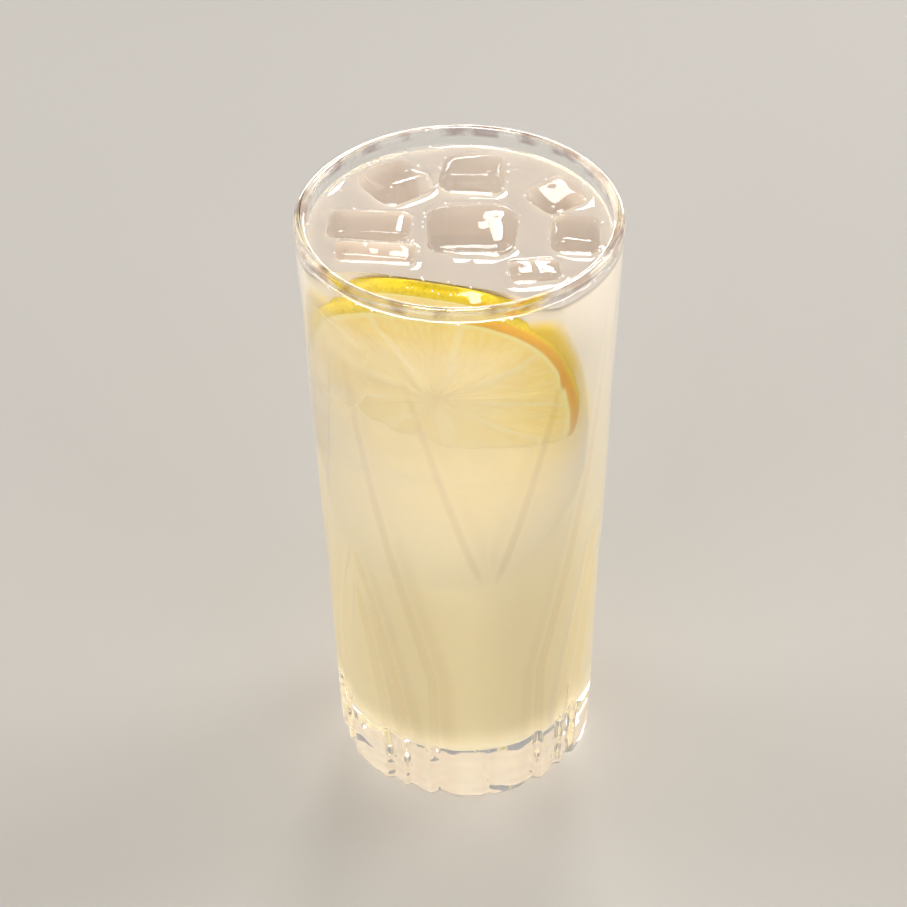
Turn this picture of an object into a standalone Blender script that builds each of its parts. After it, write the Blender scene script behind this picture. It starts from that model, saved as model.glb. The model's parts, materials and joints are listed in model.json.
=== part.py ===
"""A glass of lemonade: a tall cut highball glass with the drink, a slice of lemon and ice.

The origin is the centre of the foot, +Z is up, and the side with the lemon faces -Y.
Lengths are in metres. Angles of the cut pattern are in degrees.
"""

import math
import random
from collections import namedtuple

import bmesh
import bpy
from mathutils import Euler

MM = 0.001

# The glass
HEIGHT = 154.5 * MM
RIM_RADIUS = 37.0 * MM
FOOT_RADIUS = 31.5 * MM
RIM_WALL = 2.8 * MM
FOOT_WALL = 4.3 * MM
FLOOR_THICKNESS = 12.5 * MM
FLOOR_CORNER = 7.0 * MM
FOOT_BEVEL = 1.2 * MM
GLASS_STEPS = 96
WALL_ROWS = 17
HOLLOW_ROWS = 5

# The cut pattern: three like panels round the glass, each mirrored about its own middle
PANEL = 120.0
PANEL_MIDDLE = 10.0
CUT_DEPTH_FOOT = 1.4 * MM
CUT_DEPTH_TOP = 0.5 * MM
CUT_END = (0.80, 0.93)
CUT_STEEP_WIDTH = 3.4
CUT_SLOPE_WIDTH = 9.5

# A cut runs up from foot_azimuth to top_azimuth, both counted from the panel's middle, between two
# shares of the height. Its bend and ease say how it curves, and it appears and fades between shares.
Cut = namedtuple("Cut", "foot_azimuth top_azimuth low high bend ease appears fades strength")
CUTS = (
    Cut(0.0, 31.0, 0.47, 0.90, 0.85, 1.0, (0.45, 0.52), None, 1.0),
    Cut(22.5, 55.0, 0.26, 0.93, 1.1, 1.6, None, None, 1.0),
    Cut(36.5, 60.0, 0.12, 0.52, 1.5, 1.0, None, (0.44, 0.52), 1.0),
    Cut(45.5, 60.0, 0.10, 0.45, 1.4, 1.0, None, (0.37, 0.45), 1.0),
    Cut(0.0, 0.0, 0.0, 1.0, 1.0, 1.0, None, (0.06, 0.16), 0.45),
)

# What fills the glass
LEVEL = 149.5 * MM
GAP = 0.3 * MM
DRINK_STEPS = 48
SLICE_HALF_HEIGHT = 30.0 * MM
SLICE_HALF_WIDTH = 28.6 * MM
SLICE_SQUARENESS = 2.35
SLICE_THICKNESS = 4.5 * MM
SLICE_BULGE = 0.7 * MM
RIND_AND_PITH = 4.0 * MM
SLICE_CORE = 2.0 * MM
PULP_SINK = 0.35 * MM
SLICE_SEGMENTS = 9
SLICE_STEPS = 54
SLICE_FROM_AXIS = 12.5 * MM
SLICE_CENTRE_HEIGHT = 121.7 * MM
SLICE_TURN = math.radians(-15.5)
SLICE_LEAN = math.radians(20.0)
ICE_SEED = 5

# Each piece of ice: its place on the drink, the height of its top, its size, and its turn and tilts
ICE = {
    "ice_centre": ((3.6, 0.6), 152.0, (23.5, 21.5, 22.0), (-4.0, 5.0, -3.0)),
    "ice_back_left": ((-14.2, 17.9), 153.4, (15.5, 15.5, 21.0), (35.0, -7.0, 5.0)),
    "ice_back": ((4.0, 20.6), 154.0, (16.0, 15.0, 21.0), (-6.0, -8.0, -5.0)),
    "ice_back_right": ((22.2, 14.2), 152.0, (12.5, 12.5, 18.0), (-53.0, 4.0, 6.0)),
    "ice_right": ((25.2, -2.6), 151.9, (12.0, 15.5, 19.0), (-3.0, -5.0, 4.0)),
    "ice_front_right": ((15.8, -15.0), 151.6, (12.0, 8.0, 12.0), (7.0, 5.0, 5.0)),
    "ice_left": ((-19.6, 2.8), 151.9, (20.5, 11.5, 18.0), (-8.0, 4.0, -3.0)),
    "ice_front_left": ((-18.8, -7.6), 151.3, (19.0, 7.8, 10.5), (-7.0, 3.0, 2.0)),
}
ICE_ROUNDING = 0.22
ICE_TAPER = 0.86
ICE_UNEVENNESS = 0.07


def outer_radius(height):
    return FOOT_RADIUS + (RIM_RADIUS - FOOT_RADIUS) * height / HEIGHT


def wall_thickness(height):
    """The wall is thickest at the foot and thins quickly over its lower half."""
    share = 1.0 - height / HEIGHT
    return RIM_WALL + (FOOT_WALL - RIM_WALL) * share**2


def inner_radius(height):
    return outer_radius(height) - wall_thickness(height)


def smooth_step(low, high, value):
    share = min(1.0, max(0.0, (value - low) / (high - low)))
    return share * share * (3.0 - 2.0 * share)


def cut_line(cut, share):
    """Where a cut runs at this share of the height, in degrees from the panel's middle, and how strong it is."""
    climb = min(1.0, max(0.0, (share - cut.low) / (cut.high - cut.low)))
    turned = 1.0 - (1.0 - climb**cut.bend) ** cut.ease
    line = cut.foot_azimuth + (cut.top_azimuth - cut.foot_azimuth) * turned
    appears = smooth_step(*cut.appears, share) if cut.appears else 1.0
    fades = smooth_step(*cut.fades, share) if cut.fades else 0.0
    return line, cut.strength * appears * (1.0 - fades)


def cut_depth(azimuth, height):
    """How far the cuts go into the wall at this azimuth, in degrees, and this height."""
    share = height / HEIGHT
    from_middle = (azimuth - PANEL_MIDDLE) % PANEL
    from_middle = min(from_middle, PANEL - from_middle)
    deepest = 0.0
    for cut in CUTS:
        line, strength = cut_line(cut, share)
        beyond = from_middle - line
        if beyond > 0.0:
            profile = 1.0 - beyond / CUT_STEEP_WIDTH
        else:
            profile = 1.0 + beyond / CUT_SLOPE_WIDTH
        deepest = max(deepest, strength * profile)
    depth = CUT_DEPTH_TOP + (CUT_DEPTH_FOOT - CUT_DEPTH_TOP) * (1.0 - share) ** 2
    fade = 1.0 - smooth_step(*CUT_END, share)
    return depth * fade * deepest


def arc(centre, radius, start, end, steps):
    """Points of an arc in the profile's plane, from the start angle to the end angle, in degrees."""
    points = []
    for step in range(steps + 1):
        angle = math.radians(start + (end - start) * step / steps)
        across = centre[0] + radius * math.cos(angle)
        up = centre[1] + radius * math.sin(angle)
        points.append((across, up))
    return points


def inside_profile(clearance, top):
    """The hollow's outline, from the top of the wall down to the floor's centre."""
    floor = FLOOR_THICKNESS + clearance
    corner = FLOOR_CORNER - clearance
    corner_height = floor + corner
    corner_across = inner_radius(corner_height) - clearance - corner
    points = []
    for row in range(HOLLOW_ROWS):
        height = top + (corner_height - top) * row / HOLLOW_ROWS
        points.append((inner_radius(height) - clearance, height))
    points += arc((corner_across, corner_height), corner, 0.0, -90.0, 4)
    points.append((0.0, floor))
    return points


def turn(profile, steps, start_azimuth=0.0):
    """A closed body turned round Z from a profile whose two ends are on the axis."""
    mesh = bmesh.new()
    start = math.radians(start_azimuth)
    ring = []
    for across, up in profile:
        ring.append(mesh.verts.new((across * math.sin(start), -across * math.cos(start), up)))
    edges = [mesh.edges.new(pair) for pair in zip(ring, ring[1:])]
    bmesh.ops.spin(
        mesh,
        geom=ring + edges,
        cent=(0.0, 0.0, 0.0),
        axis=(0.0, 0.0, 1.0),
        angle=math.tau,
        steps=steps,
        use_merge=True,
    )
    bmesh.ops.remove_doubles(mesh, verts=mesh.verts, dist=0.001 * MM)
    bmesh.ops.recalc_face_normals(mesh, faces=mesh.faces)
    return mesh


def finish_object(name, mesh, material, sharp_angle=math.radians(40.0)):
    data = bpy.data.meshes.new(name)
    mesh.to_mesh(data)
    mesh.free()
    data.materials.append(material)
    data.shade_smooth()
    data.set_sharp_from_angle(angle=sharp_angle)
    body = bpy.data.objects.new(name, data)
    bpy.context.scene.collection.objects.link(body)
    return body


def make_material(name, colour, roughness, transmission=0.0, ior=1.45):
    material = bpy.data.materials.new(name)
    material.use_nodes = True
    shader = material.node_tree.nodes["Principled BSDF"]
    shader.inputs["Base Color"].default_value = (*colour, 1.0)
    shader.inputs["Roughness"].default_value = roughness
    shader.inputs["Metallic"].default_value = 0.0
    shader.inputs["Transmission Weight"].default_value = transmission
    shader.inputs["IOR"].default_value = ior
    return material


def build_glass():
    """A pressed glass with a thick base, a rounded rim and curved cuts that run up from its foot."""
    profile = [(0.0, 0.0), (FOOT_RADIUS - FOOT_BEVEL, 0.0)]
    profile.append((outer_radius(0.35 * FOOT_BEVEL) - 0.35 * FOOT_BEVEL, 0.35 * FOOT_BEVEL))
    rim_round = 0.5 * RIM_WALL
    rim_height = HEIGHT - rim_round
    for row in range(WALL_ROWS + 1):
        height = FOOT_BEVEL + (rim_height - FOOT_BEVEL) * row / WALL_ROWS
        profile.append((outer_radius(height), height))
    rim_centre = (outer_radius(rim_height) - rim_round, rim_height)
    profile += arc(rim_centre, rim_round, 30.0, 180.0, 5)
    profile += inside_profile(0.0, rim_height)[1:]
    mesh = turn(profile, GLASS_STEPS, PANEL_MIDDLE)
    for vertex in mesh.verts:
        across = math.hypot(vertex.co.x, vertex.co.y)
        is_outside = across > 0.5 * (inner_radius(vertex.co.z) + outer_radius(vertex.co.z))
        if is_outside:
            azimuth = math.degrees(math.atan2(vertex.co.x, -vertex.co.y))
            scale = 1.0 - cut_depth(azimuth, vertex.co.z) / across
            vertex.co.x *= scale
            vertex.co.y *= scale
    glass = make_material("clear_glass", (0.95, 0.96, 0.95), 0.03, 1.0, 1.5)
    return finish_object("glass", mesh, glass)


def pulp_relief(angle):
    """How much the pulp stands below the membranes, from 0 at a membrane to 1 inside a segment."""
    turn_share = (angle / math.tau * SLICE_SEGMENTS) % 1.0
    from_membrane = min(turn_share, 1.0 - turn_share)
    return smooth_step(0.0, 0.22, from_membrane)


def build_slice():
    """A slice of lemon with rind, pith and pulp. Its outline is an oval with somewhat square shoulders."""
    half = 0.5 * SLICE_THICKNESS
    face_radius = SLICE_HALF_HEIGHT - SLICE_BULGE
    pulp_radius = SLICE_HALF_HEIGHT - RIND_AND_PITH
    pulp_shoulder = 1.2 * MM
    across = [0.0, SLICE_CORE, 0.5 * pulp_radius, pulp_radius - pulp_shoulder, pulp_radius, face_radius]
    front = [(radius, half) for radius in across]
    edge = [(SLICE_HALF_HEIGHT, 0.4 * half), (SLICE_HALF_HEIGHT, -0.4 * half)]
    back = [(radius, -half) for radius in reversed(across)]
    mesh = turn(front + edge + back, SLICE_STEPS)
    for vertex in mesh.verts:
        radius = math.hypot(vertex.co.x, vertex.co.y)
        is_pulp = SLICE_CORE + 0.1 * MM < radius < pulp_radius - 0.1 * MM
        if is_pulp:
            sink = PULP_SINK * pulp_relief(math.atan2(vertex.co.x, -vertex.co.y))
            vertex.co.z -= math.copysign(sink, vertex.co.z)
        if radius > 0.0:
            across, up = abs(vertex.co.x) / radius, abs(vertex.co.y) / radius
            shoulder = (across**SLICE_SQUARENESS + up**SLICE_SQUARENESS) ** (-1.0 / SLICE_SQUARENESS)
            vertex.co.x *= shoulder
            vertex.co.y *= shoulder
        vertex.co.x *= SLICE_HALF_WIDTH / SLICE_HALF_HEIGHT
    lemon = make_material("lemon", (0.86, 0.68, 0.12), 0.35)
    lemon_slice = finish_object("lemon_slice", mesh, lemon)
    lemon_slice.location = (
        SLICE_FROM_AXIS * math.sin(SLICE_TURN),
        -SLICE_FROM_AXIS * math.cos(SLICE_TURN),
        SLICE_CENTRE_HEIGHT,
    )
    lemon_slice.rotation_euler = (0.5 * math.pi + SLICE_LEAN, 0.0, SLICE_TURN)
    return lemon_slice


def build_ice(name, place, top, size, turns, material, draws):
    """A half-melted ice cube: tapered, uneven and well rounded, with its highest point at the given height."""
    mesh = bmesh.new()
    bmesh.ops.create_cube(mesh, size=1.0)
    shortest = min(size)
    for corner in mesh.verts:
        taper = 1.0 if corner.co.z > 0.0 else ICE_TAPER
        for axis in range(3):
            narrowing = taper if axis < 2 else 1.0
            uneven = shortest * draws.uniform(-ICE_UNEVENNESS, 0.0)
            length = size[axis] * narrowing * abs(corner.co[axis]) + uneven
            corner.co[axis] = math.copysign(length * MM, corner.co[axis])
    bmesh.ops.bevel(
        mesh,
        geom=list(mesh.edges),
        offset=ICE_ROUNDING * shortest * MM,
        offset_type="OFFSET",
        affect="EDGES",
        segments=3,
        profile=0.5,
        material=-1,
        clamp_overlap=True,
    )
    bmesh.ops.remove_doubles(mesh, verts=mesh.verts, dist=0.01 * MM)
    bmesh.ops.recalc_face_normals(mesh, faces=mesh.faces)
    yaw, tilt_x, tilt_y = (math.radians(angle) for angle in turns)
    rotation = Euler((tilt_x, tilt_y, yaw))
    highest = max((rotation.to_matrix() @ vertex.co).z for vertex in mesh.verts)
    piece = finish_object(name, mesh, material)
    piece.rotation_euler = rotation
    piece.location = (place[0] * MM, place[1] * MM, top * MM - highest)
    return piece


def cutter_around(piece, collection):
    """A copy of a piece grown by the gap, which cuts the drink clear of it."""
    data = piece.data.copy()
    mesh = bmesh.new()
    mesh.from_mesh(data)
    mesh.normal_update()
    grown = [vertex.co + 1.1 * GAP * vertex.normal for vertex in mesh.verts]
    for vertex, place in zip(mesh.verts, grown):
        vertex.co = place
    mesh.to_mesh(data)
    mesh.free()
    cutter = bpy.data.objects.new(piece.name + "_room", data)
    cutter.location = piece.location
    cutter.rotation_euler = piece.rotation_euler
    cutter.hide_render = True
    cutter.display_type = "WIRE"
    collection.objects.link(cutter)


def build_drink(pieces):
    """The drink fills the hollow up to its level, cut clear of the lemon and the ice."""
    profile = [(0.0, LEVEL)] + inside_profile(GAP, LEVEL)
    mesh = turn(profile, DRINK_STEPS)
    lemonade = make_material("lemonade", (0.83, 0.74, 0.46), 0.1)
    drink = finish_object("drink", mesh, lemonade)
    rooms = bpy.data.collections.new("rooms")
    bpy.context.scene.collection.children.link(rooms)
    for piece in pieces:
        cutter_around(piece, rooms)
    cut = drink.modifiers.new("clear_of_pieces", "BOOLEAN")
    cut.operation = "DIFFERENCE"
    cut.operand_type = "COLLECTION"
    cut.collection = rooms
    cut.solver = "EXACT"
    return drink


def main():
    for old in list(bpy.data.objects):
        bpy.data.objects.remove(old, do_unlink=True)
    build_glass()
    pieces = [build_slice()]
    clear_ice = make_material("clear_ice", (0.93, 0.95, 0.96), 0.08, 1.0, 1.31)
    draws = random.Random(ICE_SEED)
    for name, (place, top, size, turns) in ICE.items():
        pieces.append(build_ice(name, place, top, size, turns, clear_ice, draws))
    build_drink(pieces)


main()
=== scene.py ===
"""The looks of a glass of lemonade, dressed round its fixed solids."""

import json
import math
import random

import bmesh
import bpy
from mathutils import Euler, Matrix, Vector, noise
from mathutils.bvhtree import BVHTree

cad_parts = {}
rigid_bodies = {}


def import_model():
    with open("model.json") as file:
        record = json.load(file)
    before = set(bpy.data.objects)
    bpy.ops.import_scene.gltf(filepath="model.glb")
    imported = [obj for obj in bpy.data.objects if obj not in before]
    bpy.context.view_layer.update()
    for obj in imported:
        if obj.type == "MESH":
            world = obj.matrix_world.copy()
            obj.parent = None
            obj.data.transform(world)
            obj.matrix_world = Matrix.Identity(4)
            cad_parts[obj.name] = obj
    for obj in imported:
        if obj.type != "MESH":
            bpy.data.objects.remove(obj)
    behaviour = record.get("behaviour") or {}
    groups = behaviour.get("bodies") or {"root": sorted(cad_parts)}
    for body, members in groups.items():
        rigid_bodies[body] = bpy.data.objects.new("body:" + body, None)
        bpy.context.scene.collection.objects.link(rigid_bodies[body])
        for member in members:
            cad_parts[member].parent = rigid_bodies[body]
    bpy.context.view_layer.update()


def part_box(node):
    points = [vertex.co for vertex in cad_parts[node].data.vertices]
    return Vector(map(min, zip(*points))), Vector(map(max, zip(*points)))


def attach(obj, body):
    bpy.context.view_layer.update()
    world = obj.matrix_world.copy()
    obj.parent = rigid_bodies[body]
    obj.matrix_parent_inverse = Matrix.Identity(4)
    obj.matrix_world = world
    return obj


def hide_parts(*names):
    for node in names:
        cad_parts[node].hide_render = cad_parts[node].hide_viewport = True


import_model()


# The glass is a tall clear highball, pressed in one piece with a thick base and curved cuts that
# run up its outside in three like panels. Its rim is rounded by fire and stays smooth below.
MM = 0.001
HEIGHT = 154.5 * MM
RIM_RADIUS = 37.0 * MM
FOOT_RADIUS = 31.5 * MM
RIM_WALL = 2.8 * MM
FOOT_WALL = 4.3 * MM
FLOOR_THICKNESS = 12.5 * MM
FLOOR_CORNER = 7.0 * MM
FOOT_BEVEL = 1.2 * MM
LEVEL = 149.5 * MM
WETTED_UP_TO = LEVEL + 1.0 * MM
INNER_ROWS = (152.0 * MM, WETTED_UP_TO, 120.0 * MM, 80.0 * MM, 45.0 * MM)
INNER_FACES_WITHIN = 0.3 * MM
GLASS_STEPS = 360
WALL_ROWS = 110

PANEL = 120.0
PANEL_MIDDLE = 10.0
CUT_DEPTH_FOOT = 1.4 * MM
CUT_DEPTH_TOP = 0.5 * MM
CUT_END = (0.80, 0.93)
CUT_STEEP_WIDTH = 3.4
CUT_SLOPE_WIDTH = 9.5
CUT_ROUNDING = 0.6
CUTS = (
    dict(foot=0.0, top=31.0, low=0.47, high=0.90, bend=0.85, ease=1.0, appears=(0.45, 0.52)),
    dict(foot=22.5, top=55.0, low=0.26, high=0.93, bend=1.1, ease=1.6),
    dict(foot=36.5, top=60.0, low=0.12, high=0.52, bend=1.5, ease=1.0, fades=(0.44, 0.52)),
    dict(foot=45.5, top=60.0, low=0.10, high=0.45, bend=1.4, ease=1.0, fades=(0.37, 0.45)),
    dict(foot=0.0, top=0.0, low=0.0, high=1.0, bend=1.0, ease=1.0, fades=(0.06, 0.16),
         strength=0.45),
)


def outer_radius(height):
    return FOOT_RADIUS + (RIM_RADIUS - FOOT_RADIUS) * height / HEIGHT


def inner_radius(height):
    share = 1.0 - height / HEIGHT
    return outer_radius(height) - RIM_WALL - (FOOT_WALL - RIM_WALL) * share**2


def smooth_step(low, high, value):
    """0 before low, 1 past high, and smooth between; low may be the greater."""
    share = min(1.0, max(0.0, (value - low) / (high - low)))
    return share * share * (3.0 - 2.0 * share)


def cut_depth(azimuth, height):
    share = height / HEIGHT
    from_middle = (azimuth - PANEL_MIDDLE) % PANEL
    from_middle = min(from_middle, PANEL - from_middle)
    deepest = 0.0
    for cut in CUTS:
        climb = min(1.0, max(0.0, (share - cut["low"]) / (cut["high"] - cut["low"])))
        turned = 1.0 - (1.0 - climb ** cut["bend"]) ** cut["ease"]
        beyond = from_middle - cut["foot"] - (cut["top"] - cut["foot"]) * turned
        width = CUT_STEEP_WIDTH if beyond > 0.0 else -CUT_SLOPE_WIDTH
        profile = max(0.0, 1.0 - beyond / width)
        rounded = CUT_ROUNDING * profile * profile * (3.0 - 2.0 * profile)
        profile = (1.0 - CUT_ROUNDING) * profile + rounded
        strength = cut.get("strength", 1.0)
        if "appears" in cut:
            strength *= smooth_step(*cut["appears"], share)
        if "fades" in cut:
            strength *= 1.0 - smooth_step(*cut["fades"], share)
        deepest = max(deepest, strength * profile)
    depth = CUT_DEPTH_TOP + (CUT_DEPTH_FOOT - CUT_DEPTH_TOP) * (1.0 - share) ** 2
    return depth * deepest * (1.0 - smooth_step(*CUT_END, share))


def arc(centre, radius, start, end, steps):
    points = []
    for step in range(steps + 1):
        angle = math.radians(start + (end - start) * step / steps)
        points.append((centre[0] + radius * math.cos(angle), centre[1] + radius * math.sin(angle)))
    return points


DOUBLES_WITHIN = 0.0005 * MM
SHARP_EDGE = math.radians(60.0)


def turned_body(profile, steps):
    """A closed body turned round Z from a profile of radii and heights that ends on the axis."""
    mesh = bmesh.new()
    ring = [mesh.verts.new((0.0, -across, up)) for across, up in profile]
    edges = [mesh.edges.new(pair) for pair in zip(ring, ring[1:])]
    bmesh.ops.spin(mesh, geom=ring + edges, cent=(0.0, 0.0, 0.0), axis=(0.0, 0.0, 1.0),
                   angle=math.tau, steps=steps, use_merge=True)
    bmesh.ops.remove_doubles(mesh, verts=mesh.verts, dist=DOUBLES_WITHIN)
    bmesh.ops.recalc_face_normals(mesh, faces=mesh.faces)
    return mesh


def finished(name, mesh, *materials):
    """A piece from its mesh and materials, smooth but for sharp edges, that rides on the body."""
    data = bpy.data.meshes.new(name)
    mesh.to_mesh(data)
    mesh.free()
    for material in materials:
        data.materials.append(material)
    data.shade_smooth()
    data.set_sharp_from_angle(angle=SHARP_EDGE)
    piece = bpy.data.objects.new(name, data)
    bpy.context.scene.collection.objects.link(piece)
    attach(piece, "root")
    return piece


class Value:
    """A shader socket that takes part in sums like a number."""

    def __init__(self, shader, socket):
        self.shader = shader
        self.socket = socket

    def math(self, operation, *others):
        inputs = dict(enumerate((self, *others)))
        return self.shader.node("ShaderNodeMath", {"operation": operation}, inputs)

    def reflected(self, operation, other):
        return self.shader.node("ShaderNodeMath", {"operation": operation}, {0: other, 1: self})

    def __add__(self, other):
        return self.math("ADD", other)

    def __sub__(self, other):
        return self.math("SUBTRACT", other)

    def __mul__(self, other):
        return self.math("MULTIPLY", other)

    def __truediv__(self, other):
        return self.math("DIVIDE", other)

    def __pow__(self, other):
        return self.math("POWER", other)

    def __rsub__(self, other):
        return self.reflected("SUBTRACT", other)

    def __rtruediv__(self, other):
        return self.reflected("DIVIDE", other)

    __radd__ = __add__
    __rmul__ = __mul__

    def over(self, low, high):
        """0 below low, 1 above high, and smooth between; low may be the greater."""
        settings = {"interpolation_type": "SMOOTHSTEP"}
        inputs = {"Value": self, "From Min": low, "From Max": high}
        return self.shader.node("ShaderNodeMapRange", settings, inputs)


class Shader:
    """A material's nodes. node() adds one, with its settings and then its values or links."""

    def __init__(self, name):
        self.material = bpy.data.materials.new(name)
        self.material.use_nodes = True
        self.tree = self.material.node_tree
        self.tree.nodes.clear()
        self.place = self.node("ShaderNodeTexCoord", result="Object")
        self.x, self.y, self.z = self.parts(self.place)

    def node(self, kind, settings=None, inputs=None, result=0):
        added = self.tree.nodes.new(kind)
        for name, value in (settings or {}).items():
            setattr(added, name, value)
        for name, value in (inputs or {}).items():
            if isinstance(value, Value):
                self.tree.links.new(value.socket, added.inputs[name])
            else:
                added.inputs[name].default_value = value
        return Value(self, added.outputs[result]) if added.outputs else None

    def parts(self, vector):
        split = self.node("ShaderNodeSeparateXYZ", inputs={0: vector})
        outputs = split.socket.node.outputs
        return [Value(self, outputs[axis]) for axis in range(3)]

    def vector(self, x, y, z):
        return self.node("ShaderNodeCombineXYZ", inputs={0: x, 1: y, 2: z})

    def mixed(self, share, first, second):
        """The first colour where share is 0 and the second where it is 1."""
        first = first if isinstance(first, Value) else (*first, 1.0)
        second = second if isinstance(second, Value) else (*second, 1.0)
        inputs = {0: share, 6: first, 7: second}
        return self.node("ShaderNodeMix", {"data_type": "RGBA"}, inputs, result=2)

    def noise(self, scale, detail=2.0, where=None):
        inputs = {"Vector": where or self.place, "Scale": scale, "Detail": detail}
        return self.node("ShaderNodeTexNoise", {}, inputs)

    def bump(self, height, strength, distance):
        inputs = {"Height": height, "Strength": strength, "Distance": distance}
        return self.node("ShaderNodeBump", {}, inputs)

    def mix_shaders(self, share, first, second):
        return self.node("ShaderNodeMixShader", {}, {0: share, 1: first, 2: second})

    def surface(self, shader):
        self.node("ShaderNodeOutputMaterial", inputs={"Surface": shader})
        return self.material


SMEARS = 60.0
LAMP_LIGHT_LEFT = (0.96, 0.96, 0.95, 1.0)
BASE_RIPPLE_HEIGHTS = (22.0 * MM, 9.0 * MM)
BASE_RIPPLES = 20.0


def clear_material(name, colour, ior, roughness, ripples_at, ripple_height,
                   hidden=None, shaded=None):
    """A clear wet or glassy finish that lets lamps through, and is plain air where hidden is 1."""
    shader = Shader(name)
    smears = shader.noise(SMEARS, 3.0)
    ripples = shader.noise(ripples_at, 1.0)
    tint = shader.mixed(smears, colour, tuple(0.5 + 0.5 * part for part in colour))
    if shaded:
        tint = shaded(shader, tint)
        ripples = ripples * (1.0 + shader.z.over(*BASE_RIPPLE_HEIGHTS) * BASE_RIPPLES)
    body = shader.node("ShaderNodeBsdfPrincipled", {}, {
        "Base Color": tint,
        "Roughness": smears * (2.0 * roughness),
        "IOR": ior,
        "Transmission Weight": 1.0,
        "Normal": shader.bump(ripples, 1.0, ripple_height),
    })
    air = shader.node("ShaderNodeBsdfTransparent", {}, {"Color": LAMP_LIGHT_LEFT})
    lamp_ray = shader.node("ShaderNodeLightPath", result="Is Shadow Ray")
    share = lamp_ray if hidden is None else lamp_ray.math("MAXIMUM", hidden(shader))
    return shader.surface(shader.mix_shaders(share, body, air))


PLAIN_AIR = (1.0, 1.0, 1.0, 1.0)


def wetted_wall_material():
    """Where drink touches glass there is no gap to see, so that face shows nothing of its own."""
    shader = Shader("wetted_wall")
    return shader.surface(shader.node("ShaderNodeBsdfTransparent", {}, {"Color": PLAIN_AIR}))


rim_round = 0.5 * RIM_WALL
rim_height = HEIGHT - rim_round
outline = [(0.0, 0.0), (0.5 * FOOT_RADIUS, 0.0), (FOOT_RADIUS - FOOT_BEVEL, 0.0)]
outline += arc((FOOT_RADIUS - FOOT_BEVEL, FOOT_BEVEL), FOOT_BEVEL, -72.0, -18.0, 3)
for row in range(WALL_ROWS + 1):
    height = FOOT_BEVEL + (rim_height - FOOT_BEVEL) * row / WALL_ROWS
    outline.append((outer_radius(height), height))
outline += arc((outer_radius(rim_height) - rim_round, rim_height), rim_round, 12.0, 180.0, 14)
outline += [(inner_radius(height), height) for height in INNER_ROWS]
corner_height = FLOOR_THICKNESS + FLOOR_CORNER
corner_centre = (inner_radius(corner_height) - FLOOR_CORNER, corner_height)
outline += arc(corner_centre, FLOOR_CORNER, 0.0, -90.0, 12)
outline.append((0.0, FLOOR_THICKNESS))
shell = turned_body(outline, GLASS_STEPS)
cut_slope = shell.verts.layers.float.new("cut_slope")
for vertex in shell.verts:
    across = math.hypot(vertex.co.x, vertex.co.y)
    height = vertex.co.z
    if across > 0.5 * (inner_radius(height) + outer_radius(height)):
        azimuth = math.degrees(math.atan2(vertex.co.x, -vertex.co.y))
        rise = cut_depth(azimuth + 0.5, height) - cut_depth(azimuth - 0.5, height)
        vertex[cut_slope] = abs(rise) / (across * math.radians(1.0))
        scale = 1.0 - cut_depth(azimuth, height) / across
        vertex.co.x *= scale
        vertex.co.y *= scale
for face in shell.faces:
    middle = face.calc_center_median()
    inside = math.hypot(middle.x, middle.y) < inner_radius(middle.z) + INNER_FACES_WITHIN
    wetted = inside and FLOOR_THICKNESS - MM < middle.z < WETTED_UP_TO
    face.material_index = 1 if wetted else 0

GLASS_TINT = (0.94, 0.955, 0.95)
CUT_SHADE = (0.87, 0.84, 0.82)
CUT_SHADE_SLOPES = (0.05, 0.34)
RIM_SHADE = (0.42, 0.33, 0.33)
RIM_DASHES = 170.0
RIM_DASH_EDGES = (0.42, 0.6)
RIM_DASH_HEIGHTS = (152.2 * MM, 153.0 * MM)


def glass_shade(shader, tint):
    """Light is lost on the steep side of a cut, and in dashes along the rounded rim."""
    slope = shader.node("ShaderNodeAttribute", {"attribute_name": "cut_slope"}, result="Fac")
    tint = shader.mixed(slope.over(*CUT_SHADE_SLOPES), tint, CUT_SHADE)
    dashes = shader.noise(RIM_DASHES, 3.0).over(*RIM_DASH_EDGES)
    return shader.mixed(dashes * shader.z.over(*RIM_DASH_HEIGHTS), tint, RIM_SHADE)


clear_glass = clear_material("clear_glass", GLASS_TINT, ior=1.48, roughness=0.02, ripples_at=90.0,
                             ripple_height=0.06 * MM, shaded=glass_shade)
glass = finished("glass_clear", shell, clear_glass, wetted_wall_material())
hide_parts("glass")


# The ice is eight clear, half-melted cubes that float wedged together, each a few millimetres
# out of the drink. Below the drink's surface clear ice in water hardly shows an edge. Each cube
# has its length, depth and height in millimetres, and its turn and two tilts in degrees.
ICE_SEED = 5
ICE = {
    "ice_centre": ((23.5, 21.5, 22.0), (-4.0, 5.0, -3.0)),
    "ice_back_left": ((15.5, 15.5, 21.0), (35.0, -7.0, 5.0)),
    "ice_back": ((16.0, 15.0, 21.0), (-6.0, -8.0, -5.0)),
    "ice_back_right": ((12.5, 12.5, 18.0), (-53.0, 4.0, 6.0)),
    "ice_right": ((12.0, 15.5, 19.0), (-3.0, -5.0, 4.0)),
    "ice_front_right": ((12.0, 8.0, 12.0), (7.0, 5.0, 5.0)),
    "ice_left": ((20.5, 11.5, 18.0), (-8.0, 4.0, -3.0)),
    "ice_front_left": ((19.0, 7.8, 10.5), (-7.0, 3.0, 2.0)),
}
ICE_ROUNDING = 0.24
ICE_TAPER = 0.86
ICE_FILL = 0.97
ICE_CELLS = 16
ICE_WAVES = 0.28 * MM
LONG_WAVES = 130.0
SHORT_WAVES = 330.0
SHORT_WAVE_SHARE = 0.4
ICE_TINT = (0.95, 0.97, 0.97)
ICE_SHOWS_ABOVE = (LEVEL + 0.5 * MM, LEVEL + 0.1 * MM)
GAP_SEARCH = 10.0 * MM


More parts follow.
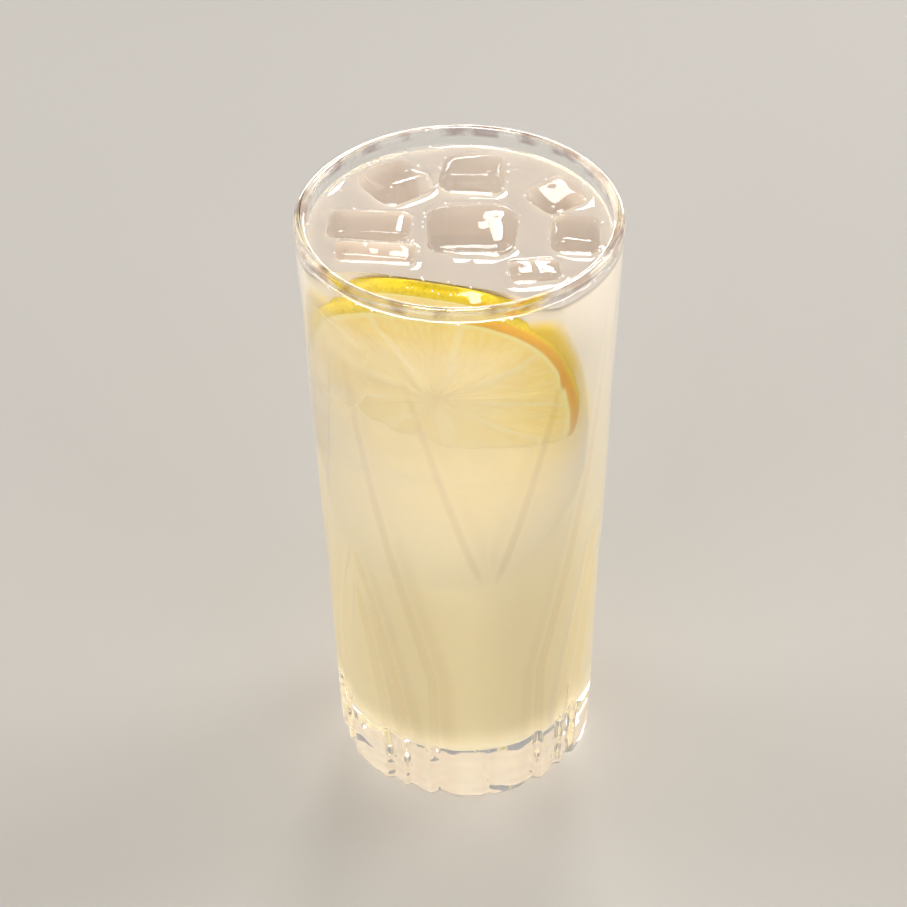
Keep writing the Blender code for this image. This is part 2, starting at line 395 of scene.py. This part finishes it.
def melted_cube(name, size, turns, seed, shrink):
    """A tapered, rounded and wavy cube in the place of its solid, less shrink on every side."""
    low, high = (Vector(corner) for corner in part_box(name))
    middle = 0.5 * (low + high)
    mesh = bmesh.new()
    bmesh.ops.create_cube(mesh, size=2.0)
    bmesh.ops.subdivide_edges(mesh, edges=mesh.edges, cuts=ICE_CELLS, use_grid_fill=True)
    half = [0.5 * ICE_FILL * length * MM for length in size]
    rounding = ICE_ROUNDING * min(size) * MM
    drift = Vector((seed * 3.7, seed * 1.3, seed * 5.1))
    for vertex in mesh.verts:
        full = Vector([part * reach for part, reach in zip(vertex.co, half)])
        core = Vector([max(rounding - reach, min(reach - rounding, part))
                       for part, reach in zip(full, half)])
        outward = Vector((0.0, 0.0, 1.0))
        if (full - core).length > 0.0:
            outward = (full - core).normalized()
        point = core + rounding * outward
        lift = 0.5 * (1.0 + point.z / half[2])
        narrowing = ICE_TAPER + (1.0 - ICE_TAPER) * lift
        point.x *= narrowing
        point.y *= narrowing
        swell = noise.noise(point * LONG_WAVES + drift)
        swell += SHORT_WAVE_SHARE * noise.noise(point * SHORT_WAVES + drift)
        vertex.co = point + outward * (ICE_WAVES * swell - shrink)
    yaw, tilt_x, tilt_y = (math.radians(angle) for angle in turns)
    turned = Euler((tilt_x, tilt_y, yaw)).to_matrix()
    bmesh.ops.rotate(mesh, verts=mesh.verts, cent=(0.0, 0.0, 0.0), matrix=turned)
    top = max(vertex.co.z for vertex in mesh.verts)
    in_place = (middle.x, middle.y, high.z - shrink - top)
    bmesh.ops.translate(mesh, verts=mesh.verts, vec=in_place)
    bmesh.ops.recalc_face_normals(mesh, faces=mesh.faces)
    return mesh


def under_the_drink(shader):
    return shader.z.over(*ICE_SHOWS_ABOVE)


clear_ice = clear_material("clear_ice", ICE_TINT, ior=1.31, roughness=0.03, ripples_at=160.0,
                           ripple_height=0.12 * MM, hidden=under_the_drink)
ice_shapes = []
for number, (name, (size, turns)) in enumerate(ICE.items()):
    cube = melted_cube(name, size, turns, number + ICE_SEED, 0.0)
    ice_shapes.append(BVHTree.FromBMesh(cube))
    piece = finished(name + "_clear", cube, clear_ice)
    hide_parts(name)


def gap_to(shapes, point):
    """The distance to the nearest of some shapes, negative inside one."""
    nearest = 1.0
    for shape in shapes:
        found, normal, _, distance = shape.find_nearest(point, GAP_SEARCH)
        if found is not None:
            inside = (point - found).dot(normal) < 0.0
            nearest = min(nearest, -distance if inside else distance)
    return nearest


# The lemon is one large slice, cut about 5 mm thick, that the ice presses towards the front wall.
# It has yellow zest with oil pores, thin pith, and pale wet pulp in segments between membranes.
SLICE_HALF_HEIGHT = 30.0 * MM
SLICE_HALF_WIDTH = 28.6 * MM
SLICE_SQUARENESS = 2.35
SLICE_THICKNESS = 4.5 * MM
SLICE_FROM_AXIS = 12.5 * MM
SLICE_CENTRE_HEIGHT = 121.7 * MM
SLICE_TURN = math.radians(-15.5)
SLICE_LEAN = math.radians(20.0)
SLICE_SEGMENTS = 9
PULP_EDGE = 0.89
PITH_EDGE = 0.935
SLICE_CENTRE = Vector((
    SLICE_FROM_AXIS * math.sin(SLICE_TURN),
    -SLICE_FROM_AXIS * math.cos(SLICE_TURN),
    SLICE_CENTRE_HEIGHT,
))
SLICE_ROTATION = Euler((0.5 * math.pi + SLICE_LEAN, 0.0, SLICE_TURN))
FACE_RINGS = (0.06, 0.12, 0.2, 0.3, 0.4, 0.5, 0.6, 0.7, 0.78, 0.83, 0.87, 0.9, 0.93, 0.96)
BACK_RINGS = (0.9, 0.7, 0.4, 0.2)
SLICE_STEPS = 216
PULP_SINK = 0.3 * MM
VESICLES = 0.12 * MM
HAZE_LOW = (0.86, 0.74, 0.46)
HAZE_HIGH = (0.86, 0.78, 0.66)
HAZE_HEIGHTS = (58.0 * MM, 163.0 * MM)
HAZE_DRIFT = 30.0 * MM
DEEPER_FROM_ABOVE = 1.6
SEEN_DEPTH = 50.0 * MM
SEEN_FALL = 1.2
CLEARER_RIGHT = 14.0
FADE_MIDDLE = 7.0 * MM
FADE_LOWEST = -26.0 * MM
FADE_RISE = 21.0 * MM
FADE_FROM = -12.0 * MM
FADE_OVER = 15.0 * MM
FADE_BEND = 2.2
FADE_WAVER = 8.0 * MM


def haze_colour(shader):
    """The drink's own colour: yellower towards the foot and paler under the ice, a bit uneven."""
    drift = shader.noise(22.0, 2.0) * HAZE_DRIFT
    return shader.mixed((shader.z + drift).over(*HAZE_HEIGHTS), HAZE_LOW, HAZE_HIGH)


def seen_through_drink(shader):
    """0 at the wall or the surface, and nearer 1 the more cloudy drink lies in front."""
    from_axis = (shader.x * shader.x + shader.y * shader.y).math("SQRT")
    widening = (RIM_RADIUS - FOOT_RADIUS) / HEIGHT
    to_wall = (shader.z * widening + (FOOT_RADIUS - RIM_WALL)) - from_axis
    to_surface = (LEVEL - shader.z) * DEEPER_FROM_ABOVE
    depth = to_wall.math("MINIMUM", to_surface) * (1.0 - shader.x * CLEARER_RIGHT)
    return (depth / SEEN_DEPTH).math("MAXIMUM", 0.0).math("MINIMUM", 1.0) ** SEEN_FALL


def on_slice(shader):
    """A place as across, up and out of the slice's middle plane."""
    inputs = {"Vector": shader.place, "Location": SLICE_CENTRE, "Rotation": SLICE_ROTATION}
    on_plane = shader.node("ShaderNodeMapping", {"vector_type": "TEXTURE"}, inputs)
    return shader.parts(on_plane)


def out_on_slice(x, y):
    """0 at the slice's centre and 1 at its outline."""
    across = (x / SLICE_HALF_WIDTH).math("ABSOLUTE") ** SLICE_SQUARENESS
    up = (y / SLICE_HALF_HEIGHT).math("ABSOLUTE") ** SLICE_SQUARENESS
    return (across + up) ** (1.0 / SLICE_SQUARENESS)


def haze_over_slice(shader, x, y):
    """How much the drink hides of the slice, which is all of it low down and towards the left."""
    beside = ((x - FADE_MIDDLE) / SLICE_HALF_WIDTH).math("ABSOLUTE")
    lowest = beside ** FADE_BEND * FADE_RISE + FADE_LOWEST
    clear = shader.noise(60.0, 2.0) * FADE_WAVER - 0.5 * FADE_WAVER + y - lowest
    return 1.0 - (1.0 - seen_through_drink(shader)) * clear.over(FADE_FROM, FADE_OVER)


PULP_COLOURS = ((0.94, 0.69, 0.17), (0.96, 0.77, 0.28))
MEMBRANE_COLOUR = (0.96, 0.86, 0.52)
PITH_COLOURS = ((0.93, 0.76, 0.22), (0.95, 0.84, 0.42))
ZEST_COLOURS = ((0.70, 0.49, 0.012), (0.80, 0.60, 0.015))
LIT_ZEST_COLOUR = (0.80, 0.40, 0.015)
BLACK = (0.0, 0.0, 0.0)


def lemon_material():
    """Pulp, membranes, pith and zest by their place on the slice, under the drink's haze."""
    shader = Shader("lemon_flesh")
    x, y, z = on_slice(shader)
    out = out_on_slice(x, y)
    turn = (y / SLICE_HALF_HEIGHT).math("ARCTAN2", x / SLICE_HALF_WIDTH) / math.tau
    wobble = shader.noise(120.0, 1.0) * 0.03
    segment = ((turn + wobble) * SLICE_SEGMENTS).math("FRACT")
    from_membrane = 0.5 - (segment - 0.5).math("ABSOLUTE")
    membrane = (from_membrane * out).over(0.06, 0.01) * out.over(0.05, 0.4)
    streaks = shader.noise(1.0, 2.0, shader.vector(turn * 150.0, out * 9.0, z * 200.0))
    pulp = shader.mixed(streaks.over(0.2, 0.85), *PULP_COLOURS)
    pulp = shader.mixed(membrane * 0.4, pulp, MEMBRANE_COLOUR)
    pith = shader.mixed(shader.noise(500.0, 2.0), *PITH_COLOURS)
    pores = shader.node("ShaderNodeTexVoronoi", {}, {"Vector": shader.place, "Scale": 900.0})
    zest = shader.mixed(pores.over(0.15, 0.5), *ZEST_COLOURS)
    lit_from_behind = z.over(0.6 * MM, 2.0 * MM) * x.over(6.0 * MM, 14.0 * MM)
    zest = shader.mixed(lit_from_behind, zest, LIT_ZEST_COLOUR)
    out_wavy = out + wobble
    colour = shader.mixed(out_wavy.over(PULP_EDGE - 0.02, PULP_EDGE + 0.02), pulp, pith)
    colour = shader.mixed(out_wavy.over(PITH_EDGE - 0.01, PITH_EDGE + 0.02), colour, zest)
    haze = haze_over_slice(shader, x, y)
    colour = shader.mixed(haze, colour, haze_colour(shader))
    relief = pores * out.over(PITH_EDGE, 1.0) * 0.6 + streaks * out.over(PULP_EDGE, 0.8)
    body = shader.node("ShaderNodeBsdfPrincipled", {}, {
        "Base Color": colour,
        "Roughness": 0.3 + streaks * 0.2,
        "Subsurface Weight": 0.35,
        "Subsurface Radius": (1.0, 0.8, 0.4),
        "Subsurface Scale": 2.0 * MM,
        "Specular IOR Level": 0.2,
        # Painted light: a faint glow in the slice's own colour where the drink does not hide it.
        "Emission Color": shader.mixed(haze, colour, BLACK),
        "Emission Strength": 0.06,
        "Normal": shader.bump(relief * (1.0 - haze), 0.6, 0.3 * MM),
    })
    return shader.surface(body)


half = 0.5 * SLICE_THICKNESS
slice_outline = [(0.0, half)]
slice_outline += [(share * SLICE_HALF_HEIGHT, half) for share in FACE_RINGS]
slice_outline += arc((SLICE_HALF_HEIGHT - 0.9 * half, 0.0), half, 60.0, -60.0, 12)
slice_outline = [(min(across, SLICE_HALF_HEIGHT), up) for across, up in slice_outline]
slice_outline += [(share * SLICE_HALF_HEIGHT, -half) for share in BACK_RINGS]
slice_outline.append((0.0, -half))
lemon = turned_body(slice_outline, SLICE_STEPS)
for vertex in lemon.verts:
    radius = math.hypot(vertex.co.x, vertex.co.y) / SLICE_HALF_HEIGHT
    turn_share = (math.atan2(vertex.co.y, vertex.co.x) / math.tau * SLICE_SEGMENTS) % 1.0
    from_membrane = min(turn_share, 1.0 - turn_share) * radius
    sink = PULP_SINK * smooth_step(0.0, 0.16, from_membrane)
    sink *= smooth_step(PULP_EDGE, PULP_EDGE - 0.06, radius)
    if vertex.co.z > 0.3 * half:
        vesicles = VESICLES * noise.noise(Vector((turn_share * 9.0, radius * 14.0, 0.3)) * 2.0)
        vertex.co.z -= sink - vesicles * smooth_step(PULP_EDGE, PULP_EDGE - 0.1, radius)
    if radius > 0.0:
        across, up = (abs(part) / (radius * SLICE_HALF_HEIGHT) for part in vertex.co.xy)
        shoulder = (across**SLICE_SQUARENESS + up**SLICE_SQUARENESS) ** (-1.0 / SLICE_SQUARENESS)
        vertex.co.xy *= shoulder
    vertex.co.x *= SLICE_HALF_WIDTH / SLICE_HALF_HEIGHT
slice_matrix = SLICE_ROTATION.to_matrix()
bmesh.ops.rotate(lemon, verts=lemon.verts, cent=(0.0, 0.0, 0.0), matrix=slice_matrix)
bmesh.ops.translate(lemon, verts=lemon.verts, vec=SLICE_CENTRE)
lemon_shape = BVHTree.FromBMesh(lemon)
lemon_slice = finished("lemon_slice_fresh", lemon, lemon_material())
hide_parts("lemon_slice")


# The drink is still, cloudy lemonade, poured to 5 mm below the rim. Juice makes it milky, so it
# shows its own colour except in the first centimetre or two, where the lemon shows through.
INTO_WALL = 0.15 * MM
CLOUD_INTO_WALL = 0.25 * MM
CLOUD_UNDER_FILM = 0.4 * MM
CLOUD_STEPS = 288
CLOUD_RINGS = 40
CLOUD_ROWS = 120
SLICE_IN_CLOUD = 0.7 * MM
SLICE_CLEAR_AT_TOP = 3.6 * MM
COVER = 18.0 * MM
COVER_FROM = 14.0 * MM
COVER_TO = -26.0 * MM
CLEAR_HEIGHTS = (143.0 * MM, 147.5 * MM)
SLICE_FOOT = 94.0 * MM
DISH_EDGE_ABOVE = (1.03, 1.33)
DISH_EDGE_BELOW = (1.0, 1.9)
DISH_BLEND = 1.6 * MM
DISH_FACING = 0.15


def cloud_radius(direction, height, wall):
    """How far out the cloudy part reaches: to the wall, or to the slice's front where it shows."""
    facing = -direction.x * math.sin(-SLICE_TURN) - direction.y * math.cos(SLICE_TURN)
    if facing < DISH_FACING:
        return wall
    sideways = direction.x * math.cos(SLICE_TURN) + direction.y * math.sin(SLICE_TURN)
    above = height - SLICE_CENTRE_HEIGHT
    beside = max(height, SLICE_FOOT) - SLICE_CENTRE_HEIGHT
    plane = SLICE_FROM_AXIS + beside * math.tan(SLICE_LEAN) + SLICE_IN_CLOUD
    plane -= SLICE_CLEAR_AT_TOP * smooth_step(*CLEAR_HEIGHTS, height)
    along = plane / facing * sideways
    lowest = abs((along - FADE_MIDDLE) / SLICE_HALF_WIDTH) ** FADE_BEND * FADE_RISE + FADE_LOWEST
    up = above / math.cos(SLICE_LEAN)
    plane += COVER * smooth_step(lowest + COVER_FROM, lowest + COVER_TO, up)
    reach = plane / facing
    reach = 0.5 * (reach + wall - math.hypot(reach - wall, DISH_BLEND))
    along = reach * sideways
    sides = (abs(along) / SLICE_HALF_WIDTH) ** SLICE_SQUARENESS
    sides += (abs(above) / math.cos(SLICE_LEAN) / SLICE_HALF_HEIGHT) ** SLICE_SQUARENESS
    out = sides ** (1.0 / SLICE_SQUARENESS)
    shown = 1.0 - smooth_step(*(DISH_EDGE_ABOVE if above > 0.0 else DISH_EDGE_BELOW), out)
    return wall + (min(reach, wall) - wall) * shown


cloud_top = LEVEL - CLOUD_UNDER_FILM
outline = [(0.0, cloud_top)]
top_wall = inner_radius(cloud_top) + CLOUD_INTO_WALL
for ring in range(1, CLOUD_RINGS + 1):
    outline.append((top_wall * ring / CLOUD_RINGS, cloud_top))
for row in range(1, CLOUD_ROWS + 1):
    height = cloud_top + (corner_height - cloud_top) * row / CLOUD_ROWS
    outline.append((inner_radius(height) + CLOUD_INTO_WALL, height))
outline += arc(corner_centre, FLOOR_CORNER + CLOUD_INTO_WALL, -8.0, -90.0, 10)
outline.append((0.0, FLOOR_THICKNESS - CLOUD_INTO_WALL))
cloud = turned_body(outline, CLOUD_STEPS)
for vertex in cloud.verts:
    across = math.hypot(vertex.co.x, vertex.co.y)
    if across > 0.1 * MM and vertex.co.z > corner_height:
        wall = inner_radius(vertex.co.z) + CLOUD_INTO_WALL
        direction = Vector((vertex.co.x, vertex.co.y, 0.0)) / across
        scale = cloud_radius(direction, vertex.co.z, wall) / wall
        vertex.co.x *= scale
        vertex.co.y *= scale


# Painted shade: the top of the drink is darker, where the sky and lamps light it most.
TOP_PAINTED_SHADE = (0.50, 0.44, 0.385)
TOP_PAINTED_SHADE_HEIGHTS = (LEVEL - 2.0 * MM, LEVEL - 0.6 * MM)
SEEN_PULP = (0.96, 0.74, 0.27)
SEEN_RIND = (0.88, 0.61, 0.03)
# Painted light: the foot of the drink is paler and glows, for light scattered down through it.
FOOT_PAINTED_LIGHT = (0.80, 0.69, 0.54)
FOOT_PAINTED_LIGHT_HEIGHTS = (15.0 * MM, 12.8 * MM)
FOOT_PAINTED_GLOW = (0.33, 0.29, 0.23)
FOOT_PAINTED_GLOW_HEIGHTS = (24.0 * MM, 12.8 * MM)
# Painted light: the drink's face round the ice glows, so the hollows under the ice stay pale.
ICE_ROOM_COLOURS = ((0.50, 0.445, 0.39), (0.60, 0.545, 0.48))
ICE_ROOM_PAINTED_GLOW = (0.26, 0.22, 0.19, 1.0)


def lemonade_material():
    """Cloudy juice and water. Its foot is paler and glows, painted light for the light that has
    scattered down through it, and its top is painted darker, painted shade.
    """
    shader = Shader("lemonade")
    x, y, z = on_slice(shader)
    out = out_on_slice(x, y)
    in_front = z.over(-2.0 * MM, 1.0 * MM)
    haze = 1.0 - (1.0 - haze_over_slice(shader, x, y)) * out.over(1.45, 0.9) * in_front
    colour = shader.mixed(haze, SEEN_PULP, haze_colour(shader))
    by_rind = out.over(1.27, 1.06) * x.over(12.0 * MM, 22.0 * MM) * y.over(0.0, 12.0 * MM)
    colour = shader.mixed(by_rind * in_front * 0.95, colour, SEEN_RIND)
    # Painted light: a paler colour at the foot.
    colour = shader.mixed(shader.z.over(*FOOT_PAINTED_LIGHT_HEIGHTS), colour, FOOT_PAINTED_LIGHT)
    # Painted shade on the drink's top.
    colour = shader.mixed(shader.z.over(*TOP_PAINTED_SHADE_HEIGHTS), colour, TOP_PAINTED_SHADE)
    # Painted light: a glow at the foot.
    glow = shader.mixed(shader.z.over(*FOOT_PAINTED_GLOW_HEIGHTS), BLACK, FOOT_PAINTED_GLOW)
    body = shader.node("ShaderNodeBsdfPrincipled", {}, {
        "Base Color": colour,
        "Emission Color": glow,
        "Emission Strength": 1.0,
        "Roughness": 0.5 + shader.noise(80.0, 2.0) * 0.2,
        "Subsurface Weight": 0.35,
        "Subsurface Radius": (1.0, 0.85, 0.5),
        "Subsurface Scale": 4.0 * MM,
        "Specular IOR Level": 0.1,
    })
    return shader.surface(body)


def ice_room_material():
    """The drink's face where it meets ice, kept paler than the rest by a painted glow, in place of
    the light that the cloudy drink would carry in round the ice.
    """
    shader = Shader("ice_room_painted_glow")
    body = shader.node("ShaderNodeBsdfPrincipled", {}, {
        "Base Color": shader.mixed(shader.noise(70.0, 2.0), *ICE_ROOM_COLOURS),
        # Painted light: a glow that keeps the hollows round the ice from going dark.
        "Emission Color": ICE_ROOM_PAINTED_GLOW,
        "Emission Strength": 1.0,
        "Roughness": 0.6,
        "Subsurface Weight": 1.0,
        "Subsurface Radius": (1.0, 0.9, 0.8),
        "Subsurface Scale": 6.0 * MM,
        "Specular IOR Level": 0.0,
    })
    return shader.surface(body)


ROOM_INSIDE_ICE = 0.25 * MM
ROOM_FACES_WITHIN = 0.6 * MM
drink_cloud = finished("drink_cloud", cloud, lemonade_material(), ice_room_material())
rooms = bpy.data.collections.new("ice_rooms")
bpy.context.scene.collection.children.link(rooms)
for number, (name, (size, turns)) in enumerate(ICE.items()):
    room_mesh = bpy.data.meshes.new(name + "_room")
    room = melted_cube(name, size, turns, number + ICE_SEED, ROOM_INSIDE_ICE)
    room.to_mesh(room_mesh)
    room.free()
    rooms.objects.link(bpy.data.objects.new(name + "_room", room_mesh))
cut = drink_cloud.modifiers.new("ice_rooms", "BOOLEAN")
cut.operation = "DIFFERENCE"
cut.operand_type = "COLLECTION"
cut.collection = rooms
cut.solver = "MANIFOLD"
depsgraph = bpy.context.evaluated_depsgraph_get()
hollowed = bpy.data.meshes.new_from_object(drink_cloud.evaluated_get(depsgraph))
drink_cloud.modifiers.clear()
drink_cloud.data = hollowed
for face in hollowed.polygons:
    below_top = face.center.z < cloud_top - 0.02 * MM
    by_ice = below_top and abs(gap_to(ice_shapes, face.center)) < ROOM_FACES_WITHIN
    face.material_index = 1 if by_ice else 0
for room in list(rooms.objects):
    bpy.data.objects.remove(room, do_unlink=True)
bpy.data.collections.remove(rooms)
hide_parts("drink")

MENISCUS_HEIGHT = 0.9 * MM
MENISCUS_REACH = 1.1 * MM
MENISCUS_BY_ICE = 0.8 * MM
MENISCUS_BY_RIND = 0.3 * MM
STILL_WAVES = 0.06 * MM
FILM_ROWS = (120.0 * MM, 80.0 * MM, 45.0 * MM, corner_height)
FILM_OUTSIDE_ICE = (-0.35 * MM, -0.05 * MM)
SURFACE_RINGS = 84
SURFACE_STEPS = 260
surface_wall = inner_radius(LEVEL) + INTO_WALL
outline = [(0.0, LEVEL)]
for ring in range(1, SURFACE_RINGS + 1):
    across = surface_wall * ring / SURFACE_RINGS
    climb = MENISCUS_HEIGHT * math.exp((across - surface_wall) / MENISCUS_REACH)
    outline.append((across, LEVEL + climb))
outline += [(inner_radius(height) + INTO_WALL, height) for height in FILM_ROWS]
outline += arc(corner_centre, FLOOR_CORNER + INTO_WALL, -10.0, -90.0, 8)
outline.append((0.0, FLOOR_THICKNESS - INTO_WALL))
surface = turned_body(outline, SURFACE_STEPS)
in_ice = surface.verts.layers.float.new("in_ice")
for vertex in surface.verts:
    if vertex.co.z > LEVEL - 0.01 * MM:
        gap = gap_to(ice_shapes, vertex.co)
        rind_gap = gap_to([lemon_shape], vertex.co)
        vertex[in_ice] = 1.0 - smooth_step(*FILM_OUTSIDE_ICE, gap)
        by_ice = MENISCUS_BY_ICE * math.exp(-max(gap, 0.0) / MENISCUS_REACH)
        by_rind = MENISCUS_BY_RIND * math.exp(-max(rind_gap, 0.0) / MENISCUS_REACH)
        vertex.co.z += max(by_ice, by_rind)
        vertex.co.z += STILL_WAVES * noise.noise(vertex.co * 180.0)
for face in surface.faces:
    face.material_index = 0 if face.calc_center_median().z > LEVEL - 0.2 * MM else 1


def under_the_ice(shader):
    inside = shader.node("ShaderNodeAttribute", {"attribute_name": "in_ice"}, result="Fac")
    return inside.math("GREATER_THAN", 0.5)


VEIL_RIGHT = 0.06
VEIL_MIDDLE = 0.2
VEIL_MIDDLE_FROM = (19.0 * MM, 3.0 * MM)
VEIL_LEFT = 0.16
VEIL_LEFT_FROM = (-14.0 * MM, -31.0 * MM)
VEIL_TOP = (147.0 * MM, 138.0 * MM)
VEIL_FOOT = (98.0 * MM, 126.0 * MM)


def thin_haze_material():
    """The first layer of drink behind the wall, which already veils what lies deeper."""
    shader = Shader("thin_haze")
    body = shader.node("ShaderNodeBsdfPrincipled", {}, {
        "Base Color": haze_colour(shader),
        "Roughness": 0.6,
        "Specular IOR Level": 0.0,
    })
    air = shader.node("ShaderNodeBsdfTransparent", {}, {"Color": PLAIN_AIR})
    veil = shader.x.over(*VEIL_MIDDLE_FROM) * VEIL_MIDDLE
    veil = veil + shader.x.over(*VEIL_LEFT_FROM) * VEIL_LEFT + VEIL_RIGHT
    veil = veil * shader.z.over(*VEIL_TOP) * shader.z.over(*VEIL_FOOT)
    lamp_ray = shader.node("ShaderNodeLightPath", result="Is Shadow Ray")
    return shader.surface(shader.mix_shaders(veil * (1.0 - lamp_ray), air, body))


WATER_TINT = (0.99, 0.99, 0.97)
wet_surface = clear_material("wet_surface", WATER_TINT, ior=1.33, roughness=0.01,
                             ripples_at=120.0, ripple_height=0.04 * MM, hidden=under_the_ice)
drink_surface = finished("drink_surface", surface, wet_surface, thin_haze_material())
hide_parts("drink")


# The small bubbles are trapped air. They float at the surface and cling where it meets the ice,
# the wall and the rind, each a clear bead a fraction of a millimetre across with a faint painted
# glow.
BUBBLE_SEED = 11
BUBBLES = 130
BUBBLE_RADII = (0.12, 0.34)
BUBBLE_LIFT = 0.5 * MM
CLINGS_WITHIN = 0.5 * MM
WALL_BAND = 0.7 * MM
BUBBLE_COLOURS = ((0.90, 0.90, 0.88), (1.0, 1.0, 0.98))
draws = random.Random(BUBBLE_SEED)
bubbles = bmesh.new()
placed = 0
while placed < BUBBLES:
    azimuth = draws.uniform(0.0, math.tau)
    across = surface_wall * math.sqrt(draws.random())
    spot = Vector((across * math.sin(azimuth), -across * math.cos(azimuth), LEVEL))
    size = draws.uniform(*BUBBLE_RADII) * MM
    gap = gap_to([*ice_shapes, lemon_shape], spot)
    at_edge = abs(gap - size) < CLINGS_WITHIN or across > surface_wall - WALL_BAND
    if at_edge and gap > 0.0:
        place = Matrix.Translation(spot + Vector((0.0, 0.0, BUBBLE_LIFT)))
        bmesh.ops.create_icosphere(bubbles, subdivisions=2, radius=size, matrix=place)
        placed += 1


def bubble_material():
    shader = Shader("bubble_film")
    body = shader.node("ShaderNodeBsdfPrincipled", {}, {
        "Base Color": shader.mixed(shader.noise(900.0), *BUBBLE_COLOURS),
        "Roughness": 0.08,
        "Transmission Weight": 0.15,
        # Painted light: each bead glows faintly.
        "Emission Color": (1.0, 1.0, 0.98, 1.0),
        "Emission Strength": 0.2,
    })
    return shader.surface(body)


air_bubbles = finished("air_bubbles", bubbles, bubble_material())


# The floor is one plain pale sheet, a hair below the foot, that runs well out of view so that
# no edge of it shows.
FLOOR_COLOURS = ((0.62, 0.59, 0.55), (0.66, 0.63, 0.59))
FLOOR_HALF = 3.0
FLOOR_BELOW = 0.05 * MM


def floor_material():
    shader = Shader("pale_floor")
    body = shader.node("ShaderNodeBsdfPrincipled", {}, {
        "Base Color": shader.mixed(shader.noise(3.0, 2.0), *FLOOR_COLOURS),
        "Roughness": 0.55,
    })
    return shader.surface(body)


sheet = bmesh.new()
bmesh.ops.create_grid(sheet, x_segments=4, y_segments=4, size=FLOOR_HALF)
bmesh.ops.translate(sheet, verts=sheet.verts, vec=(0.0, 0.0, -FLOOR_BELOW))
sheet_data = bpy.data.meshes.new("floor")
sheet.to_mesh(sheet_data)
sheet.free()
sheet_data.materials.append(floor_material())
floor = bpy.data.objects.new("floor", sheet_data)
bpy.context.scene.collection.objects.link(floor)


# The light is plain and soft: large lamps in front, at both sides and behind, under a pale sky.
# Three more lamps reach only the wet and clear pieces, where they show as thin bright glints.
WARM_WHITE = (1.0, 0.98, 0.95)
SOFT_WHITE = (1.0, 0.98, 0.96)
WHITE = (1.0, 0.99, 0.98)
BACK_WHITE = (1.0, 0.99, 0.97)
SKY_STRENGTH = 0.42
wet_pieces = bpy.data.collections.new("wet_pieces")
for piece in bpy.context.scene.collection.objects:
    if piece.name.endswith("_clear") or piece == drink_surface:
        wet_pieces.objects.link(piece)


def soft_lamp(name, place, target, width, depth, watts, colour, glint=False):
    """A lamp for all surfaces, or one that only shows as a glint on wet and clear ones."""
    data = bpy.data.lights.new(name, "AREA")
    data.shape = "RECTANGLE"
    data.size = width
    data.size_y = depth
    data.energy = watts
    data.color = colour
    lamp = bpy.data.objects.new(name, data)
    lamp.location = place
    lamp.rotation_euler = (Vector(target) - Vector(place)).to_track_quat("-Z", "Y").to_euler()
    if glint:
        lamp.light_linking.receiver_collection = wet_pieces
        lamp.visible_transmission = False
    bpy.context.scene.collection.objects.link(lamp)


soft_lamp("front_left_lamp", (-0.75, -1.10, 0.50), (0.0, 0.0, 0.08), 0.9, 0.9, 5.8, WARM_WHITE)
soft_lamp("front_right_lamp", (0.90, -0.90, 0.45), (0.0, 0.0, 0.08), 0.6, 0.9, 3.4, SOFT_WHITE)
soft_lamp("back_lamp", (0.10, 0.75, 0.95), (0.0, 0.0, 0.14), 0.22, 0.19, 2.4, BACK_WHITE)
soft_lamp("square_glint", (0.17, 0.62, 0.80), (0.0, 0.0, 0.15), 0.12, 0.12, 3.0, BACK_WHITE,
          glint=True)
soft_lamp("top_glint", (-0.05, 0.12, 0.95), (0.0, 0.0, 0.15), 0.30, 0.22, 6.5, WHITE, glint=True)
soft_lamp("back_glint", (0.1, 1.3, 0.27), (0.0, 0.0, 0.12), 1.6, 0.22, 20.0, WHITE, glint=True)
soft_lamp("left_lamp", (-0.85, 0.35, 0.55), (0.0, 0.0, 0.06), 0.45, 0.6, 2.4, WHITE)
soft_lamp("right_lamp", (0.85, 0.45, 0.60), (0.0, 0.0, 0.09), 0.45, 0.6, 4.0, SOFT_WHITE)
world = bpy.data.worlds.new("studio")
world.use_nodes = True
sky = world.node_tree.nodes["Background"]
sky.inputs["Color"].default_value = (*WARM_WHITE, 1.0)
sky.inputs["Strength"].default_value = SKY_STRENGTH
bpy.context.scene.world = world
bpy.context.scene.view_settings.view_transform = "Standard"


# The camera looks down on the glass from the front at the photograph's distance and angle. A
# few milliradians of pan, tilt and roll put the glass where the photograph has it.
CAMERA_DISTANCE = 0.6644
CAMERA_ELEVATION = math.radians(40.08)
CAMERA_PAN, CAMERA_TILT, CAMERA_ROLL = 0.00313, 0.0093, -0.01301
FOCAL_LENGTH_PIXELS = 2771.0
IMAGE_PIXELS = 907
SENSOR_WIDTH = 36.0
camera_data = bpy.data.cameras.new("camera")
camera_data.sensor_width = SENSOR_WIDTH
camera_data.lens = SENSOR_WIDTH * FOCAL_LENGTH_PIXELS / IMAGE_PIXELS
camera = bpy.data.objects.new("camera", camera_data)
aim = Matrix.Rotation(0.5 * math.pi - CAMERA_ELEVATION, 4, "X")
aim = aim @ Matrix.Rotation(CAMERA_PAN, 4, "Y") @ Matrix.Rotation(CAMERA_TILT, 4, "X")
aim = aim @ Matrix.Rotation(CAMERA_ROLL, 4, "Z")
stand = Vector((0.0, -math.cos(CAMERA_ELEVATION), math.sin(CAMERA_ELEVATION))) * CAMERA_DISTANCE
camera.matrix_world = Matrix.Translation(stand + Vector((0.0, 0.0, 0.5 * HEIGHT))) @ aim
bpy.context.scene.collection.objects.link(camera)
bpy.context.scene.camera = camera
